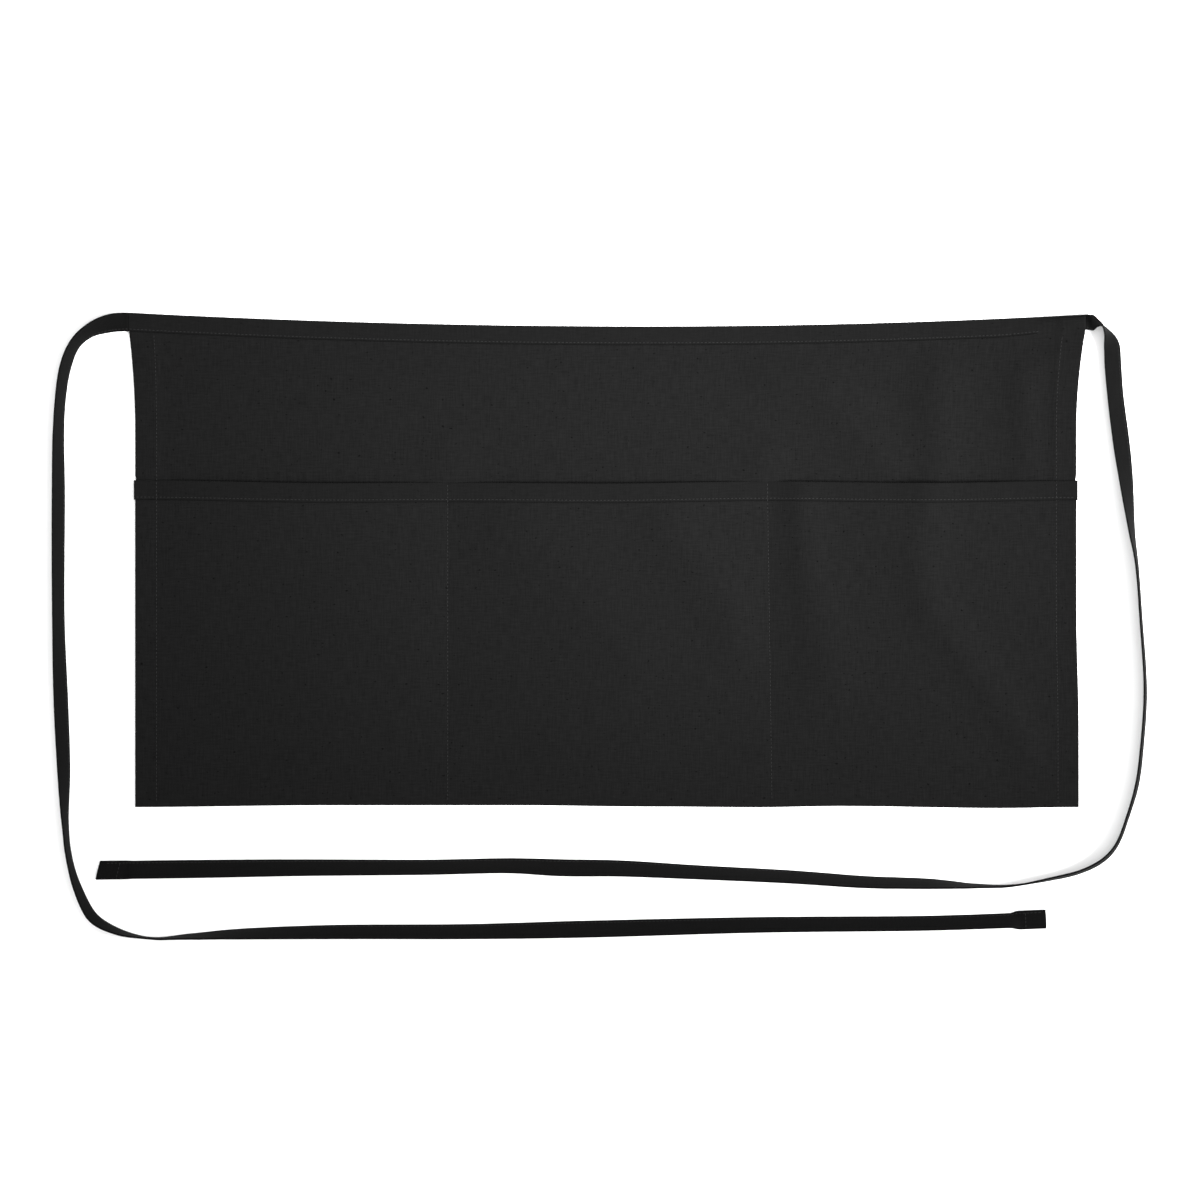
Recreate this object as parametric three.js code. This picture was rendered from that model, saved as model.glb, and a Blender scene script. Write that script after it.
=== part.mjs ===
// Waist apron with three pockets, of one black cotton cloth and folded tape, lying face up.
// Millimetres. X runs across the apron, Y up towards the waistband, Z up from the table.
// The origin is the middle of the apron's back face, on the table.

import * as THREE from 'three';

// Overall sizes
const APRON_WIDTH = 609;
const APRON_HEIGHT = 319;
const POCKET_DEPTH = 211;
const BAND_HEIGHT = 12;
const BINDING_HEIGHT = 12.8;
const HEM_WIDTH = 14;
const TIE_WIDTH = 12;
const TIE_LEFT_LENGTH = 1035;
const TIE_RIGHT_LENGTH = 1019;
const TIE_HEM = 14;

// Walls, and the clearance between any two layers
const CLOTH = 1;
const TAPE = 1;
const TIE_TAPE = 1.2;
const GAP = 0.3;

// How the edges run: the sag of the waist, the flare below it, the dip of the mouth
const WAIST_SAG_LEFT = 8.7;
const WAIST_SAG_RIGHT = 7.4;
const WAIST_LOW_POINT = 0.047;
const FLARE_LEFT = 4;
const FLARE_RIGHT = 5.8;
const FLARE_DEPTH = 66;
const MOUTH_SAG = 2.2;
const BOTTOM_WAVE = 1.3;

// How far the pocket cloth stands clear of the back cloth between its seams
const POUCH_CLEARANCE = 4.8;
const FOLD_RADIUS = 1.2;
const BINDING_OVERHANG = 1;
const BAND_OVERHANG = 0.6;

// The back cloth steps down off a hem, or off the band's under layer, in this length
const LAYER_STEP = 4;

// The divider seams, as shares of the width from the middle, at the mouth and at the bottom
const DIVIDERS = [
  { mouth: -0.168, bottom: -0.168 },
  { mouth: 0.172, bottom: 0.177 },
];

// Dips and waves of long edges: across is a share of the width from the middle
const MOUTH_DIPS = [
  { across: -0.5, dip: 0 },
  { across: -0.29, dip: 0.9 },
  { across: -0.168, dip: 0.7 },
  { across: 0, dip: 1 },
  { across: 0.172, dip: 0.35 },
  { across: 0.34, dip: 0.85 },
  { across: 0.5, dip: 0.15 },
];
const BOTTOM_WAVES = [
  { across: -0.5, dip: 0.5 },
  { across: -0.3, dip: -0.4 },
  { across: -0.1, dip: -0.4 },
  { across: 0.06, dip: 0.3 },
  { across: 0.16, dip: 0.6 },
  { across: 0.25, dip: 0 },
  { across: 0.42, dip: 1 },
  { across: 0.5, dip: 0.5 },
];

// Soft folds, each a rounded ridge on a line: across is a share of the width, up of the height,
// both from the middle, and height and spread are shares of FOLD_HEIGHT and FOLD_SPREAD
const FOLD_HEIGHT = 2;
const FOLD_SPREAD = 18;
const PANEL_FOLDS = [
  { across: 0.19, up: 0.4, toAcross: 0.26, toUp: 0.32, height: 0.8, spread: 1 },
  { across: 0.26, up: 0.32, toAcross: 0.31, toUp: 0.22, height: 0.8, spread: 0.9 },
  { across: 0.38, up: 0.39, toAcross: 0.38, toUp: 0.2, height: 1, spread: 0.8 },
  { across: 0.46, up: 0.22, toAcross: 0.46, toUp: 0.19, height: 0.6, spread: 0.7 },
  { across: -0.17, up: 0.21, toAcross: -0.17, toUp: 0.18, height: 0.5, spread: 1 },
  { across: 0.17, up: 0.21, toAcross: 0.17, toUp: 0.18, height: 0.5, spread: 1 },
  { across: -0.4, up: 0.36, toAcross: -0.22, toUp: 0.28, height: 0.4, spread: 1.4 },
];
const POCKET_FOLDS = [
  { across: -0.07, up: 0.06, toAcross: 0.04, toUp: -0.16, height: 0.45, spread: 1.1 },
  { across: 0.09, up: 0.08, toAcross: 0.16, toUp: -0.12, height: 0.4, spread: 0.9 },
  { across: 0.21, up: 0.1, toAcross: 0.27, toUp: -0.22, height: 0.6, spread: 0.9 },
  { across: 0.36, up: 0.12, toAcross: 0.4, toUp: -0.16, height: 0.6, spread: 1 },
  { across: -0.38, up: -0.3, toAcross: -0.3, toUp: -0.4, height: 0.3, spread: 1.2 },
];

// Where each tie lies: across is a share of the width, up of the height, both from the middle.
// roll is the tape's lean in degrees: 0 flat, 90 on its edge, 180 turned over.
const TIE_LEFT_ROUTE = [
  { across: -0.528, up: 0.479, roll: 20 },
  { across: -0.547, up: 0.466, roll: 48 },
  { across: -0.563, up: 0.44, roll: 60 },
  { across: -0.5735, up: 0.395, roll: 60 },
  { across: -0.5805, up: 0.3, roll: 63 },
  { across: -0.5815, up: 0.12, roll: 54 },
  { across: -0.5815, up: -0.12, roll: 57 },
  { across: -0.579, up: -0.285, roll: 48 },
  { across: -0.576, up: -0.42, roll: 54 },
  { across: -0.574, up: -0.54, roll: 77 },
  { across: -0.569, up: -0.615, roll: 78 },
  { across: -0.56, up: -0.672, roll: 70 },
  { across: -0.545, up: -0.726, roll: 64 },
  { across: -0.522, up: -0.752, roll: 74 },
  { across: -0.485, up: -0.768, roll: 90 },
  { across: -0.442, up: -0.765, roll: 78 },
  { across: -0.389, up: -0.76, roll: 62 },
  { across: -0.293, up: -0.756, roll: 48 },
  { across: -0.144, up: -0.755, roll: 43 },
  { across: -0.017, up: -0.75, roll: 32 },
  { across: 0.164, up: -0.7415, roll: 40 },
  { across: 0.345, up: -0.738, roll: 44 },
  { across: 0.425, up: -0.733, roll: 44 },
  { across: 0.445, up: -0.7315, roll: 44 },
];
const TIE_RIGHT_ROUTE = [
  { across: 0.527, up: 0.4755, roll: 90 },
  { across: 0.5335, up: 0.459, roll: 115 },
  { across: 0.538, up: 0.436, roll: 148 },
  { across: 0.5395, up: 0.395, roll: 154 },
  { across: 0.542, up: 0.334, roll: 151 },
  { across: 0.548, up: 0.243, roll: 154 },
  { across: 0.552, up: 0.182, roll: 144 },
  { across: 0.559, up: 0.06, roll: 112 },
  { across: 0.5645, up: -0.011, roll: 101 },
  { across: 0.569, up: -0.123, roll: 94 },
  { across: 0.5735, up: -0.265, roll: 93 },
  { across: 0.5705, up: -0.367, roll: 93 },
  { across: 0.5645, up: -0.458, roll: 96 },
  { across: 0.555, up: -0.52, roll: 96 },
  { across: 0.543, up: -0.579, roll: 99 },
  { across: 0.5285, up: -0.61, roll: 103 },
  { across: 0.505, up: -0.633, roll: 99 },
  { across: 0.473, up: -0.648, roll: 94 },
  { across: 0.43, up: -0.662, roll: 90 },
  { across: 0.393, up: -0.662, roll: 82 },
  { across: 0.345, up: -0.658, roll: 70 },
  { across: 0.281, up: -0.655, roll: 56 },
  { across: 0.196, up: -0.644, roll: 51 },
  { across: 0.1, up: -0.635, roll: 47 },
  { across: 0.015, up: -0.627, roll: 36 },
  { across: -0.048, up: -0.6255, roll: 31 },
  { across: -0.1, up: -0.6215, roll: 42 },
  { across: -0.187, up: -0.6245, roll: 42 },
  { across: -0.325, up: -0.6255, roll: 33 },
  { across: -0.453, up: -0.6285, roll: 20 },
];
const TIE_CLEARANCE = 14;
const TIE_LEFT_SLANT = 0;
const TIE_RIGHT_SLANT = 3;

const BOTTOM_Y = -APRON_HEIGHT / 2;
const TOP_Y = APRON_HEIGHT / 2;
const LAYER = CLOTH + GAP;

function clamp01(value) {
  return Math.min(1, Math.max(0, value));
}

function smooth(from, to, value) {
  const share = clamp01((value - from) / (to - from));
  return share * share * (3 - 2 * share);
}

function mix(a, b, share) {
  return a + (b - a) * share;
}

// Reads a table's column between its rows, level at each row
function readRows(rows, across, key) {
  const last = rows.length - 1;
  if (across <= rows[0].across) return rows[0][key];
  if (across >= rows[last].across) return rows[last][key];
  const next = rows.findIndex((row) => row.across > across);
  const before = rows[next - 1];
  const after = rows[next];
  return mix(before[key], after[key], smooth(before.across, after.across, across));
}

// Height of the middle of a layer, counted from the table
function layerHeight(layer) {
  return CLOTH / 2 + layer * LAYER;
}

// The apron's edges
function waistY(x) {
  const low = WAIST_LOW_POINT * APRON_WIDTH;
  const reach = APRON_WIDTH / 2 - Math.sign(x - low) * low;
  const sag = x < low ? WAIST_SAG_LEFT : WAIST_SAG_RIGHT;
  return TOP_Y - WAIST_SAG_LEFT + sag * ((x - low) / reach) ** 2;
}

function bandLowY(x) {
  return waistY(x) - BAND_HEIGHT;
}

function mouthY(x) {
  return BOTTOM_Y + POCKET_DEPTH - MOUTH_SAG * readRows(MOUTH_DIPS, x / APRON_WIDTH, 'dip');
}

function bottomY(x) {
  return BOTTOM_Y - BOTTOM_WAVE * readRows(BOTTOM_WAVES, x / APRON_WIDTH, 'dip');
}

function sideX(side, y) {
  const flare = side < 0 ? FLARE_LEFT : FLARE_RIGHT;
  const low = TOP_Y - BAND_HEIGHT;
  const share = clamp01(1 - (low - y) / FLARE_DEPTH);
  return side * (APRON_WIDTH / 2 + flare * share * share);
}

// Height that a set of folds adds at a point
function foldHeight(folds, x, y) {
  const point = new THREE.Vector3(x, y, 0);
  const nearest = new THREE.Vector3();
  let height = 0;
  for (const fold of folds) {
    const from = new THREE.Vector3(fold.across * APRON_WIDTH, fold.up * APRON_HEIGHT, 0);
    const to = new THREE.Vector3(fold.toAcross * APRON_WIDTH, fold.toUp * APRON_HEIGHT, 0);
    new THREE.Line3(from, to).closestPointToPoint(point, true, nearest);
    const distance = nearest.distanceTo(point) / (fold.spread * FOLD_SPREAD);
    height += fold.height * FOLD_HEIGHT * Math.exp(-distance * distance);
  }
  return height;
}

// A wall made from a grid of points on its middle surface: grid[row][column]
function sheet(grid, thickness) {
  const rows = grid.length;
  const columns = grid[0].length;
  const bend = (before, here, after) => {
    const first = here.clone().sub(before ?? here).normalize();
    const second = (after ?? here).clone().sub(here).normalize();
    if (!before) return { along: second, miter: 1 };
    if (!after) return { along: first, miter: 1 };
    const miter = Math.sqrt(Math.max(0.25, (1 + first.dot(second)) / 2));
    return { along: first.add(second).normalize(), miter };
  };
  const positions = [];
  for (const side of [1, -1]) {
    for (let row = 0; row < rows; row += 1) {
      for (let column = 0; column < columns; column += 1) {
        const here = grid[row][column];
        const across = bend(grid[row][column - 1], here, grid[row][column + 1]);
        const up = bend(grid[row - 1]?.[column], here, grid[row + 1]?.[column]);
        const normal = across.along.clone().cross(up.along).normalize();
        const reach = (side * thickness) / 2 / (across.miter * up.miter);
        positions.push(...here.clone().addScaledVector(normal, reach).toArray());
      }
    }
  }
  const at = (row, column, under) => (under ? rows * columns : 0) + row * columns + column;
  const faces = [];
  const quad = (a, b, c, d) => faces.push(a, b, c, a, c, d);
  for (let row = 0; row < rows - 1; row += 1) {
    for (let column = 0; column < columns - 1; column += 1) {
      const corners = [[row, column], [row, column + 1], [row + 1, column + 1], [row + 1, column]];
      const top = corners.map(([r, c]) => at(r, c, false));
      const under = corners.map(([r, c]) => at(r, c, true));
      quad(top[0], top[1], top[2], top[3]);
      quad(under[0], under[3], under[2], under[1]);
    }
    const last = columns - 1;
    quad(at(row, 0, true), at(row, 0, false), at(row + 1, 0, false), at(row + 1, 0, true));
    quad(at(row, last, false), at(row, last, true), at(row + 1, last, true), at(row + 1, last, false));
  }
  for (let column = 0; column < columns - 1; column += 1) {
    const last = rows - 1;
    quad(at(0, column, true), at(0, column + 1, true), at(0, column + 1, false), at(0, column, false));
    const near = [at(last, column, false), at(last, column + 1, false)];
    quad(near[0], near[1], at(last, column + 1, true), at(last, column, true));
  }
  const geometry = new THREE.BufferGeometry();
  geometry.setAttribute('position', new THREE.Float32BufferAttribute(positions, 3));
  geometry.setIndex(faces);
  geometry.computeVertexNormals();
  return geometry;
}

// Evenly spread shares between 0 and 1, both ends left out
function sharesBetween(count) {
  return Array.from({ length: count }, (_, index) => (index + 1) / (count + 1));
}

// The back cloth. Its columns start under the left hem, turn round the edge, cross the cloth
// and turn under again on the right.
const HEM_FOLD_STEPS = 4;
const PANEL_FIELD_COLUMNS = 23;
const PANEL_FOLD_ROWS = 8;
const PANEL_FOOT = 1.7;

function hemColumns() {
  const radius = LAYER / 2;
  const centre = radius + CLOTH / 2;
  const columns = [{ inset: HEM_WIDTH, layer: 0 }];
  for (let step = 0; step <= HEM_FOLD_STEPS; step += 1) {
    const angle = (Math.PI * step) / HEM_FOLD_STEPS;
    columns.push({ inset: centre - radius * Math.sin(angle), layer: (1 - Math.cos(angle)) / 2 });
  }
  columns.push({ inset: HEM_WIDTH + CLOTH, layer: 1 });
  columns.push({ inset: HEM_WIDTH + CLOTH + LAYER_STEP, layer: 0 });
  return columns;
}

function panelRelief(x, y) {
  const aboveMouth = smooth(mouthY(x) + CLOTH, mouthY(x) + 30, y);
  const belowBand = 1 - smooth(bandLowY(x) - 30, bandLowY(x) - LAYER_STEP - CLOTH, y);
  const inset = Math.min(x - sideX(-1, y), sideX(1, y) - x);
  const insideHem = smooth(HEM_WIDTH + CLOTH + LAYER_STEP, HEM_WIDTH + 2 * FOLD_SPREAD, inset);
  return aboveMouth * belowBand * insideHem * foldHeight(PANEL_FOLDS, x, y);
}

function apronPanel() {
  const hem = hemColumns();
  const hemInset = hem[hem.length - 1].inset;
  const rowHeights = [
    { y: (x) => bottomY(x) + PANEL_FOOT, lift: 0 },
    { y: (x) => mix(bottomY(x), mouthY(x), 0.65), lift: 0 },
    { y: (x) => mouthY(x), lift: 0 },
  ];
  const stepStart = (x) => bandLowY(x) - LAYER_STEP - CLOTH;
  for (const share of sharesBetween(PANEL_FOLD_ROWS)) {
    rowHeights.push({ y: (x) => mix(mouthY(x), stepStart(x), share), lift: 0 });
  }
  rowHeights.push({ y: stepStart, lift: 0 });
  rowHeights.push({ y: (x) => bandLowY(x) - CLOTH, lift: 1 });
  rowHeights.push({ y: (x) => waistY(x) - bandFoldDepth() - TAPE / 2 - GAP, lift: 1 });
  const grid = rowHeights.map(({ y, lift }) => {
    const points = [];
    const add = (x, layer) => {
      const height = y(x);
      points.push(new THREE.Vector3(x, height, layerHeight(layer + lift) + panelRelief(x, height)));
    };
    const edge = (side) => sideX(side, y(side * (APRON_WIDTH / 2)));
    for (const column of hem) add(edge(-1) + column.inset, column.layer);
    for (const share of sharesBetween(PANEL_FIELD_COLUMNS - 1)) {
      add(mix(edge(-1) + hemInset, edge(1) - hemInset, share), 0);
    }
    for (const column of hem.slice().reverse()) add(edge(1) - column.inset, column.layer);
    return points;
  });
  return sheet(grid, CLOTH);
}

// The pocket cloth. It turns up round the back cloth's lower edge, is held down at the side
// hems and the dividers, and stands clear of the back cloth between them.
const POCKET_COLUMN_SHARES = [0.05, 0.14, 0.3, 0.5, 0.7, 0.86, 0.95];
const POCKET_ROW_SHARES = [0.04, 0.09, 0.16, 0.24, 0.36, 0.5, 0.65, 0.8, 0.92];
const POUCH_RISE_SHARE = 0.3;

function seamX(index, y) {
  const seam = DIVIDERS[index];
  const share = clamp01((y - BOTTOM_Y) / POCKET_DEPTH);
  return APRON_WIDTH * mix(seam.bottom, seam.mouth, share);
}

function pocketSeams(y) {
  return [
    { x: sideX(-1, y) + HEM_WIDTH - CLOTH, layer: 2 },
    { x: seamX(0, y), layer: 1 },
    { x: seamX(1, y), layer: 1 },
    { x: sideX(1, y) - HEM_WIDTH + CLOTH, layer: 2 },
  ];
}

function pocketHeight(x, y) {
  const seams = pocketSeams(y);
  if (x <= seams[0].x || x >= seams[3].x) return layerHeight(2);
  const right = seams.findIndex((seam) => seam.x >= x);
  const from = seams[right - 1];
  const to = seams[right];
  const share = (x - from.x) / (to.x - from.x);
  const up = (y - bottomY(x)) / (mouthY(x) - bottomY(x));
  const arch = 1 - Math.abs(2 * share - 1) ** 4;
  const rise = 1 - (1 - clamp01(up / POUCH_RISE_SHARE)) ** 3;
  const held = layerHeight(mix(from.layer, to.layer, share));
  const open = CLOTH + POUCH_CLEARANCE + CLOTH / 2;
  return mix(held, open, arch * rise) + arch * rise * foldHeight(POCKET_FOLDS, x, y);
}

function pocketColumns(y) {
  const seams = pocketSeams(y);
  const columns = [sideX(-1, y)];
  seams.forEach((seam, index) => {
    columns.push(seam.x);
    const next = seams[index + 1];
    if (next) POCKET_COLUMN_SHARES.forEach((share) => columns.push(mix(seam.x, next.x, share)));
  });
  columns.push(sideX(1, y));
  return columns;
}

function pocketPanel() {
  const columns = pocketColumns(BOTTOM_Y).length;
  const grid = [];
  const addRow = (place) => {
    grid.push(Array.from({ length: columns }, (_, index) => place(index)));
  };
  const footY = (x) => bottomY(x) + CLOTH / 2;
  const shoulder = (x) => pocketHeight(x, footY(x) + FOLD_RADIUS);
  addRow((index) => {
    const x = pocketColumns(BOTTOM_Y)[index];
    return new THREE.Vector3(x, footY(x), 0);
  });
  for (const angle of [0, Math.PI / 6, Math.PI / 3, Math.PI / 2]) {
    addRow((index) => {
      const x = pocketColumns(BOTTOM_Y)[index];
      const y = footY(x) + FOLD_RADIUS * (1 - Math.cos(angle));
      return new THREE.Vector3(x, y, shoulder(x) - FOLD_RADIUS * (1 - Math.sin(angle)));
    });
  }
  for (const share of [...POCKET_ROW_SHARES, 1]) {
    addRow((index) => {
      const level = BOTTOM_Y + share * POCKET_DEPTH;
      const x = pocketColumns(level)[index];
      const y = mix(footY(x) + FOLD_RADIUS, mouthY(x) - TAPE - GAP, share);
      return new THREE.Vector3(x, y, pocketHeight(x, y));
    });
  }
  return sheet(grid, CLOTH);
}

// The band on the pockets' mouth: flat on the pocket cloth, then turned down over its edge
const BINDING_TURN = 0.8;

function pocketBinding() {
  const columns = pocketColumns(BOTTOM_Y + POCKET_DEPTH);
  columns[0] -= BINDING_OVERHANG;
  columns[columns.length - 1] += BINDING_OVERHANG;
  const over = CLOTH / 2 + GAP + TAPE / 2;
  const lipY = TAPE / 2;
  const rows = [];
  for (const share of [1, 0.5]) {
    rows.push({ down: mix(lipY + BINDING_TURN, BINDING_HEIGHT, share), drop: 0 });
  }
  for (const angle of [0, Math.PI / 6, Math.PI / 3, Math.PI / 2]) {
    const down = lipY + BINDING_TURN * (1 - Math.sin(angle));
    rows.push({ down, drop: BINDING_TURN * (1 - Math.cos(angle)) });
  }
  rows.push({ down: lipY, drop: over + CLOTH / 2 });
  const grid = rows.map(({ down, drop }) => columns.map((x) => {
    const y = mouthY(x) - down;
    return new THREE.Vector3(x, y, pocketHeight(x, y) + over - drop);
  }));
  return sheet(grid, TAPE);
}

// The waistband: tape folded over the back cloth's top edge, with one arm under and one over
const BAND_FIELD_COLUMNS = 18;
const BAND_FOLD_STEPS = 4;

function bandFoldDepth() {
  return (2 * LAYER) / 2 + TAPE / 2;
}

function bandEndX(side) {
  return sideX(side, TOP_Y) + side * BAND_OVERHANG;
}

function waistband() {
  const stepInset = HEM_WIDTH + CLOTH + LAYER_STEP;
  const columns = [
    { x: bandEndX(-1), layer: 3 },
    { x: sideX(-1, TOP_Y) + HEM_WIDTH + CLOTH, layer: 3 },
    { x: sideX(-1, TOP_Y) + stepInset, layer: 2 },
  ];
  for (const share of sharesBetween(BAND_FIELD_COLUMNS)) {
    const x = mix(sideX(-1, TOP_Y) + stepInset, sideX(1, TOP_Y) - stepInset, share);
    columns.push({ x, layer: 2 });
  }
  columns.push({ x: sideX(1, TOP_Y) - stepInset, layer: 2 });
  columns.push({ x: sideX(1, TOP_Y) - HEM_WIDTH - CLOTH, layer: 3 });
  columns.push({ x: bandEndX(1), layer: 3 });
  const reach = bandFoldDepth() - TAPE / 2;
  const rows = [{ down: BAND_HEIGHT, up: 0 }, { down: mix(BAND_HEIGHT, bandFoldDepth(), 0.5), up: 0 }];
  for (let step = 0; step <= BAND_FOLD_STEPS; step += 1) {
    const angle = (Math.PI * step) / BAND_FOLD_STEPS;
    const down = bandFoldDepth() - reach * Math.sin(angle);
    rows.push({ down, up: (1 - Math.cos(angle)) / 2 });
  }
  rows.push({ down: mix(BAND_HEIGHT, bandFoldDepth(), 0.5), up: 1 });
  rows.push({ down: BAND_HEIGHT, up: 1 });
  const grid = rows.map(({ down, up }) => columns.map(({ x, layer }) => {
    return new THREE.Vector3(x, waistY(x) - down, layerHeight(up * layer));
  }));
  return sheet(grid, TAPE);
}

// A tie: tape that leaves the waistband's end, leans as it turns, and rests on the table
const TIE_STUB = 1.5;
const TIE_LEAD = 4;
const TIE_LEAD_LEAN = 0.5;
const TIE_LET_DOWN = 16;
const TIE_FLATTEN = 20;
const TIE_HEM_TURN_STEPS = 4;

// The next section of a tie comes after this length, or sooner where the tape turns or rolls
const TIE_STEP = 18;
const TIE_STEP_TURN = THREE.MathUtils.degToRad(7);
const TIE_STEP_ROLL = 12;

function tieStart(side) {
  const x = bandEndX(side) + side * GAP;
  const y = waistY(sideX(side, TOP_Y)) - BAND_HEIGHT / 2;
  return new THREE.Vector3(x, y, 0);
}

function tieCurve(side, route, outward) {
  const start = tieStart(side);
  const points = [start, start.clone().add(new THREE.Vector3(side * TIE_LEAD, 0, 0))];
  for (const row of route) {
    const outside = clamp01((side * row.across - 0.5) / 0.05);
    const x = row.across * APRON_WIDTH + side * outward * outside;
    points.push(new THREE.Vector3(x, row.up * APRON_HEIGHT, 0));
  }
  const path = new THREE.CatmullRomCurve3(points, false, 'centripetal');
  const leanings = [0, route[0].roll * TIE_LEAD_LEAN, ...route.map((row) => row.roll)];
  const rolls = leanings.map((roll) => new THREE.Vector3(roll, 0, 0));
  return { path, lean: new THREE.CatmullRomCurve3(rolls, false, 'catmullrom') };
}

// Points along a tie, each with its distance from the waistband, its heading and its lean, run
// on past the route's last row in a straight line as far as the length asks
function tieStations(side, route, outward, length) {
  const { path, lean } = tieCurve(side, route, outward);
  const fine = 40 * (route.length + 1);
  const samples = [];
  let distance = 0;
  let previous = path.getPoint(0);
  for (let index = 0; index <= fine; index += 1) {
    const share = index / fine;
    const point = path.getPoint(share);
    distance += point.distanceTo(previous);
    previous = point;
    const heading = new THREE.Vector3(side, 0, 0);
    heading.lerp(path.getTangent(share), smooth(0, TIE_LEAD, distance)).normalize();
    samples.push({ distance, point, heading, roll: lean.getPoint(share).x });
  }
  const last = samples[samples.length - 1];
  const at = (wanted) => {
    if (wanted >= last.distance) {
      const point = last.point.clone().addScaledVector(last.heading, wanted - last.distance);
      return { distance: wanted, point, heading: last.heading, roll: last.roll };
    }
    return { ...samples.find((sample) => sample.distance >= wanted), distance: wanted };
  };
  const hemEdge = length - TIE_HEM - TIE_TAPE;
  const straight = hemEdge - LAYER_STEP;
  const marks = [at(0), at(TIE_STUB)];
  for (const sample of samples) {
    const mark = marks[marks.length - 1];
    const step = sample.distance - mark.distance;
    const turned = sample.heading.angleTo(mark.heading) > TIE_STEP_TURN;
    const rolled = Math.abs(sample.roll - mark.roll) > TIE_STEP_ROLL;
    const due = step > TIE_STEP || (step > TIE_STUB && (turned || rolled));
    if (due && sample.distance < straight - TIE_STUB) marks.push(sample);
  }
  marks.push(at(straight), at(hemEdge));
  return { marks, end: at(length) };
}

function tieHeight(lean) {
  return (TIE_WIDTH / 2) * Math.abs(Math.sin(lean)) + (TIE_TAPE / 2) * Math.abs(Math.cos(lean));
}

function tie(side, route, outward, length, endSlant) {
  const { marks, end } = tieStations(side, route, outward, length);
  const layer = TIE_TAPE + GAP;
  const radius = layer / 2;
  const hemEdge = length - TIE_HEM - TIE_TAPE;
  const grid = [];
  const addRow = (point, heading, lean, height, slant) => {
    const outer = new THREE.Vector3(heading.y, -heading.x, 0).normalize().multiplyScalar(-side);
    const across = outer.multiplyScalar(Math.cos(lean)).add(new THREE.Vector3(0, 0, Math.sin(lean)));
    const middle = point.clone().setZ(height);
    grid.push([-1, 1].map((edge) => {
      const corner = middle.clone().addScaledVector(across, (edge * TIE_WIDTH) / 2);
      return corner.addScaledVector(heading, (edge * slant) / 2);
    }));
  };
  const startLift = layerHeight(3) / 2 + CLOTH / 4 - TIE_TAPE / 2;
  for (const mark of marks) {
    const flatten = smooth(hemEdge - TIE_FLATTEN, hemEdge, mark.distance);
    const leave = smooth(TIE_STUB, 2 * TIE_LEAD, mark.distance);
    const lean = THREE.MathUtils.degToRad(mark.roll) * leave * (1 - flatten);
    const letDown = startLift * (1 - smooth(TIE_STUB, TIE_LET_DOWN, mark.distance));
    const onHem = layer * smooth(hemEdge - LAYER_STEP, hemEdge, mark.distance);
    addRow(mark.point, mark.heading, lean, tieHeight(lean) + letDown + onHem, 0);
  }
  const turn = end.point.clone().addScaledVector(end.heading, -radius - TIE_TAPE / 2);
  for (let step = 0; step <= TIE_HEM_TURN_STEPS; step += 1) {
    const angle = (Math.PI * step) / TIE_HEM_TURN_STEPS;
    const point = turn.clone().addScaledVector(end.heading, radius * Math.sin(angle));
    addRow(point, end.heading, 0, TIE_TAPE / 2 + radius * (1 + Math.cos(angle)), endSlant);
  }
  addRow(end.point.clone().addScaledVector(end.heading, -TIE_HEM), end.heading, 0, TIE_TAPE / 2, 0);
  return sheet(grid, TIE_TAPE);
}

// The left tie's middle passes clear of the right tie's free end, so it moves out if that
// tie is made longer
function leftTieOutward() {
  const free = tieStations(1, TIE_RIGHT_ROUTE, 0, TIE_RIGHT_LENGTH).end.point;
  const offset = (row) => Math.abs(row.up * APRON_HEIGHT - free.y);
  const outside = TIE_LEFT_ROUTE.filter((row) => row.across < -0.5);
  const beside = outside.reduce((nearest, row) => (offset(row) < offset(nearest) ? row : nearest));
  return Math.max(0, beside.across * APRON_WIDTH + TIE_CLEARANCE - free.x);
}

const clothMaterial = new THREE.MeshStandardMaterial({ color: '#262627', roughness: 0.92, metalness: 0 });
const pocketMaterial = new THREE.MeshStandardMaterial({ color: '#232324', roughness: 0.92, metalness: 0 });
const bindingMaterial = new THREE.MeshStandardMaterial({ color: '#1f1f20', roughness: 0.9, metalness: 0 });
const bandMaterial = new THREE.MeshStandardMaterial({ color: '#1f1f20', roughness: 0.9, metalness: 0 });
const tieMaterial = new THREE.MeshStandardMaterial({ color: '#161617', roughness: 0.88, metalness: 0 });

function piece(name, geometry, material) {
  const mesh = new THREE.Mesh(geometry, material);
  mesh.name = name;
  return mesh;
}

const apron = new THREE.Group();
apron.name = 'waist_apron';
apron.add(piece('apron_panel', apronPanel(), clothMaterial));
apron.add(piece('pocket_panel', pocketPanel(), pocketMaterial));
apron.add(piece('pocket_binding', pocketBinding(), bindingMaterial));
apron.add(piece('waistband', waistband(), bandMaterial));
const leftTie = tie(-1, TIE_LEFT_ROUTE, leftTieOutward(), TIE_LEFT_LENGTH, TIE_LEFT_SLANT);
apron.add(piece('tie_left', leftTie, tieMaterial));
const rightTie = tie(1, TIE_RIGHT_ROUTE, 0, TIE_RIGHT_LENGTH, TIE_RIGHT_SLANT);
apron.add(piece('tie_right', rightTie, tieMaterial));

export default apron;
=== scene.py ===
# %% [markdown]
# # A black waist apron with three pockets
# The real thing is one dark cotton cloth. Its lower part is turned up in front and sewn into
# three pockets, a folded tape binds their mouth, and another tape is folded over the waist and
# runs on as the two ties. It lies on a table, face up.
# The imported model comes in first. It says where everything is, and each of its soft solids is
# replaced below by cloth with real folds, hems, seams and thread.

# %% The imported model
import math

import bmesh
import bpy
from mathutils import Matrix, Vector, noise


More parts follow.
